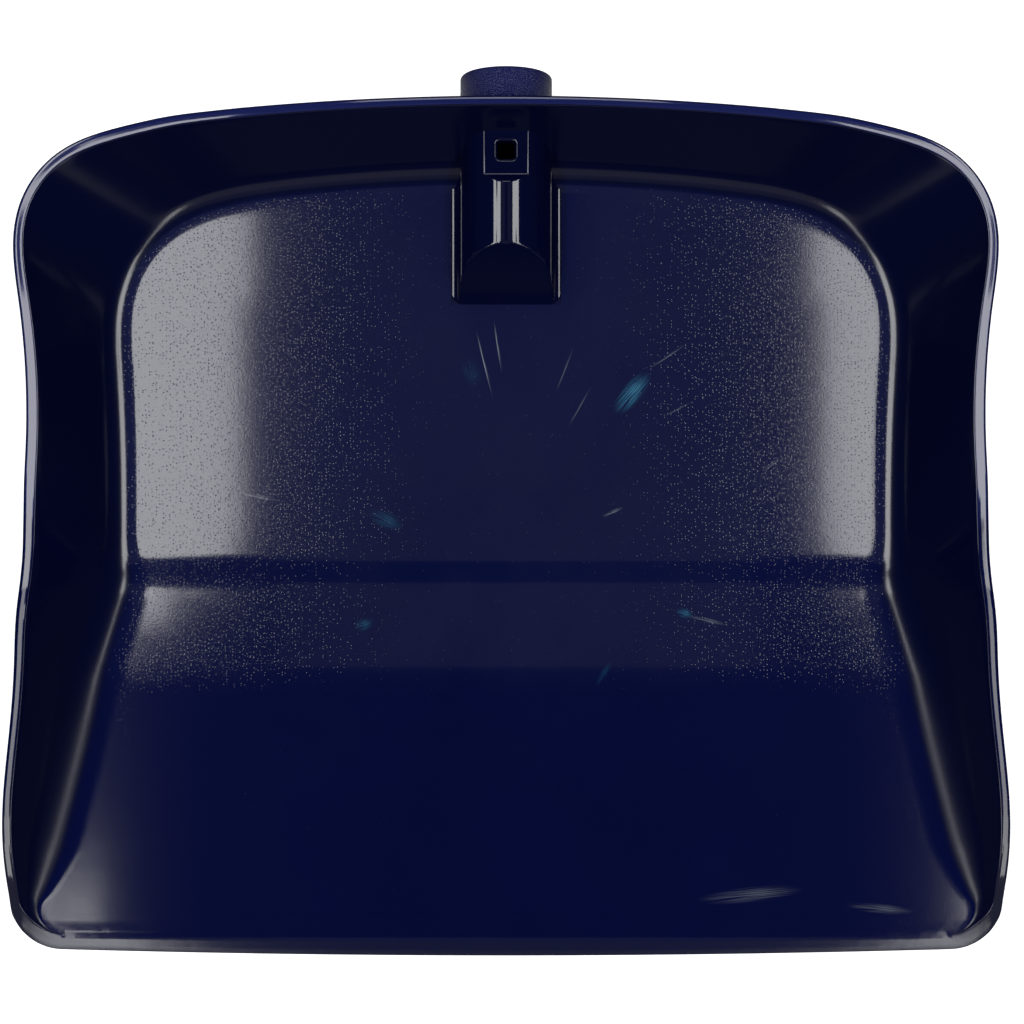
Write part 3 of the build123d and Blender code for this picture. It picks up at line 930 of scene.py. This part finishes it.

# %% [markdown]
# ## Scuffs and scratches
# A pan that has been pushed about carries pale rubbed spots and fine scratches. Each is an oval in a frame
# of its own, filled with noise that is stretched along the rub, and a scratch is only a very slim one. The
# scratches are real, but their pale colour is a painted glint: they fan out from the middle of the floor,
# as the ones that catch the lamps do.

# %% Rubbed spots
# A spot is its place in X and Y, length and width in millimetres, turn in degrees and strength
def rubbed(tree, place, x, y, length, width, turn, strength):
    own = add_node(tree, "Mapping", {"Vector": place, "Location": (x * mm, y * mm, 0),
                                     "Rotation": (0, 0, math.radians(turn)),
                                     "Scale": (length / 2 * mm, width / 2 * mm, 1.0)}, vector_type="TEXTURE")
    reach = add_node(tree, "VectorMath", {0: own}, "Value", operation="LENGTH")
    oval = add_node(tree, "MapRange", {0: reach, 1: 0.15, 2: 1.0, 3: strength, 4: 0.0}, **smooth_step)
    drawn = add_node(tree, "VectorMath", {0: own, 1: (0.9, width * 1.3, 0.0)}, **times)
    streak = add_node(tree, "TexNoise", {"Vector": drawn, "Scale": 1.0, "Detail": 2.0})
    streak = add_node(tree, "MapRange", {0: streak, 1: 0.36, 2: 0.62}, **smooth_step)
    return add_node(tree, "Math", {0: oval, 1: streak}, **times)


cyan_spots = ((43.7, 45.0, 20, 8, 50, 0.55), (-41.6, 0.9, 15, 7, -25, 0.16), (62, -31.5, 7, 4, -12, 0.35),
              (-49.6, -35.5, 8, 5, 20, 0.2), (34, -52.5, 12, 3, 60, 0.1), (-12, 52, 12, 8, -75, 0.07))
grey_spots = ((37.0, 3.7, 9, 1.6, 25, 0.25), (86, -131.0, 40, 6, 6, 0.16), (132, -136.0, 26, 4, -5, 0.16),
              (70, -34.0, 16, 2, -12, 0.2), (92, 20, 9, 2, 40, 0.12), (-86, 9, 16, 2, -10, 0.15))
# Scratches are real, and their pale colour is a painted glint where they catch the lamps
scratch_glints = ((-7.6, 55.2, 26, 0.8, -76, 0.5), (-2.9, 61.0, 20, 0.8, -81, 0.45),
             (20.3, 53.1, 19, 0.8, 69, 0.2), (25.5, 40.3, 18, 0.8, 61, 0.2),
             (56.2, 57.8, 18, 0.8, 34, 0.25), (59.5, 39.4, 13, 0.8, 29, 0.18))
cyan, grey = 0.0, 0.0
for spot in cyan_spots:
    cyan = add_node(tree, "Math", {0: rubbed(tree, place, *spot), 1: cyan}, **larger)
for spot in grey_spots + scratch_glints:
    grey = add_node(tree, "Math", {0: rubbed(tree, place, *spot), 1: grey}, **larger)
print(len(cyan_spots) + len(grey_spots), "rubbed spots and", len(scratch_glints), "scratch_glints")

# %% [markdown]
# Single grains of dust lie on the rear floor: Voronoi cells again, with a small pale dot in a few.

# %% Grains of dust
grains = add_node(tree, "TexVoronoi", {"Vector": flat_place, "Scale": 1 / (3.4 * mm)},
                  voronoi_dimensions="2D", feature="F1").node.outputs
lucky = add_node(tree, "SeparateColor", {0: grains["Color"]}, 1)
lucky = add_node(tree, "MapRange", {0: lucky, 1: 0.75, 2: 0.98, 3: 0.0, 4: 0.08}, **smooth_step)
grain = add_node(tree, "MapRange", {0: grains["Distance"], 1: 0.025, 2: 0.065, 3: 1.0, 4: 0.0},
                 **smooth_step)
dust = add_node(tree, "Math", {0: grain, 1: lucky}, **times)
dust = add_node(tree, "Math", {0: dust, 1: rear}, **times)
# The pale grey marks hold real dust and rubbed spots, and the scratches' painted glints
marks_and_glints = add_node(tree, "Math", {0: dust, 1: grey}, **larger)
marks_and_glints = add_node(tree, "Math", {0: marks_and_glints, 1: floor_only}, **times)
cyan = add_node(tree, "Math", {0: cyan, 1: floor_only}, **times)
print("dust and scuffs in", tree.name)

# %% [markdown]
# ## Colour and gloss
# The walls get the deepest navy, and faces that look up, the floor most of all, are painted a little
# brighter: painted light, as the lamps overhead light them more. A thin film of dust lies towards the back,
# and the top of the rim is painted a paler blue, painted light for the glow in its thin edge. The floor and
# the front of the rim are glossy. The walls are satin, more so towards the mouth, and rubbed spots are
# nearly matt.

# %% Colour of the pan's plastic
# The second pair is the same navy painted brighter for faces that look up: painted light
wall_shades, floor_shades_painted_lit = ("#030624", "#04082B"), ("#030933", "#050B3A")
tone = add_node(tree, "TexNoise", {"Vector": place, "Scale": 1 / (60 * mm), "Detail": 3.0})
walls, floor_colour_painted_lit = [add_node(tree, "Mix", {0: tone, 6: linear(deep), 7: linear(light)}, 2, data_type="RGBA")
                 for deep, light in (wall_shades, floor_shades_painted_lit)]
# Faces that look up take the brighter floor shades: painted light, for the lamps overhead light them more
colour = add_node(tree, "Mix", {0: upward, 6: walls, 7: floor_colour_painted_lit}, 2, data_type="RGBA")
# The rim's top is painted a paler blue: painted light for the glow in its thin edge
rim_top_painted_glow = add_node(tree, "MapRange", {0: axes[2], 1: 41.5 * mm, 2: 43 * mm}, **smooth_step)
rim_top_painted_glow = add_node(tree, "Math", {0: rim_top_painted_glow, 1: upward}, **times)
film = add_node(tree, "TexNoise", {"Vector": place, "Scale": 1 / (24 * mm), "Detail": 5.0})
film = add_node(tree, "MapRange", {0: film, 1: 0.25, 2: 0.75, 3: 0.001, 4: 0.005}, **smooth_step)
film = add_node(tree, "Math", {0: film, 1: pitted}, **times)
for share, shade in ((rim_top_painted_glow, "#181F52"), (film, "#B4C0C4"), (cyan, "#2C8DB4"), (marks_and_glints, "#B4BEC8")):
    colour = add_node(tree, "Mix", {0: share, 6: colour, 7: linear(shade)}, 2, data_type="RGBA")
print("colours of", gloss.name)

# %% Gloss of the pan's plastic
plastic_ior, mirror_gloss, front_satin, rear_satin = 1.49, 0.055, 0.26, 0.15
floor_haze, rub_haze = 0.03, 0.35
rim_slant, rim_from, rim_full = 0.19, 141 * mm, 145 * mm
rubs = add_node(tree, "Math", {0: cyan, 1: marks_and_glints}, **larger)
satin = add_node(tree, "MapRange", {0: axes[1], 1: -80 * mm, 2: -30 * mm, 3: front_satin, 4: rear_satin},
                 **smooth_step)
past_wall = add_node(tree, "Math", {0: axes[1], 1: rim_slant, 2: aside}, **times_plus)
on_rim = add_node(tree, "MapRange", {0: past_wall, 1: rim_from, 2: rim_full}, **smooth_step)
front = add_node(tree, "MapRange", {0: axes[1], 1: -10 * mm, 2: 10 * mm, 3: 1.0, 4: 0.0}, **smooth_step)
on_rim = add_node(tree, "Math", {0: on_rim, 1: front}, **times)
smooth = add_node(tree, "Math", {0: upward, 1: on_rim}, **larger)
roughness = add_node(tree, "Mix", {0: smooth, 2: satin, 3: mirror_gloss}, data_type="FLOAT")
roughness = add_node(tree, "Math", {0: floor_only, 1: floor_haze, 2: roughness}, **times_plus)
roughness = add_node(tree, "Math", {0: rubs, 1: rub_haze, 2: roughness}, **times_plus)
body = add_node(tree, "BsdfPrincipled", {"Base Color": colour, "Roughness": roughness, "Normal": relief,
                                         "IOR": plastic_ior})
add_node(tree, "OutputMaterial", {"Surface": body})
print(gloss.name, "has", len(tree.nodes), "nodes")

# %% [markdown]
# The hood was moulded in a polished part of the tool, so it has the same plastic with hardly any relief,
# glossy sides and one depth of colour all over. A copy with a few settings changed is enough.

# %% Polished form for the hood
polish_relief = 0.15
polish = gloss.copy()
polish.name = "polished_polypropylene_navy"
polish_nodes = polish.node_tree.nodes
polish_nodes[relief.node.name].inputs["Strength"].default_value = polish_relief
polish_nodes[satin.node.name].inputs[4].default_value = mirror_gloss
# The hood's upward faces take the wall colour too, so it has none of the floor's painted light
for place_in_mix, shade in zip((6, 7), wall_shades):
    polish_nodes[floor_colour_painted_lit.node.name].inputs[place_in_mix].default_value = linear(shade)
print(polish.name, "is the smoother form for the hood")

# %% [markdown]
# ## Moulded polypropylene, matt
# The sleeve's collar has a fine eroded grain that scatters the light. It sparkles in the middle, where it
# mirrors the lamps, and is plain dark navy at the sides.

# %% The sleeve's plastic
grain_size, grain_depth, collar_gloss = 0.38 * mm, 0.6 * mm, 0.17
matt, tree = new_material("grained_polypropylene_navy")
place = add_node(tree, "TexCoord", output="Object")
grain = add_node(tree, "TexNoise", {"Vector": place, "Scale": 1 / grain_size, "Detail": 1.0})
relief = add_node(tree, "Bump", {"Strength": 1.0, "Distance": grain_depth, "Height": grain})
colour = add_node(tree, "Mix", {0: grain, 6: linear("#0F144A"), 7: linear("#1A2164")}, 2, data_type="RGBA")
body = add_node(tree, "BsdfPrincipled", {"Base Color": colour, "Roughness": collar_gloss, "Normal": relief,
                                         "IOR": plastic_ior})
add_node(tree, "OutputMaterial", {"Surface": body})
print(matt.name, "has", len(tree.nodes), "nodes")

# %% Dress the shells
for shell, material in ((pan, gloss), (hood, polish), (sleeve, matt)):
    shell.data.materials.clear()
    shell.data.materials.append(material)
    print(shell.name, "is", material.name)
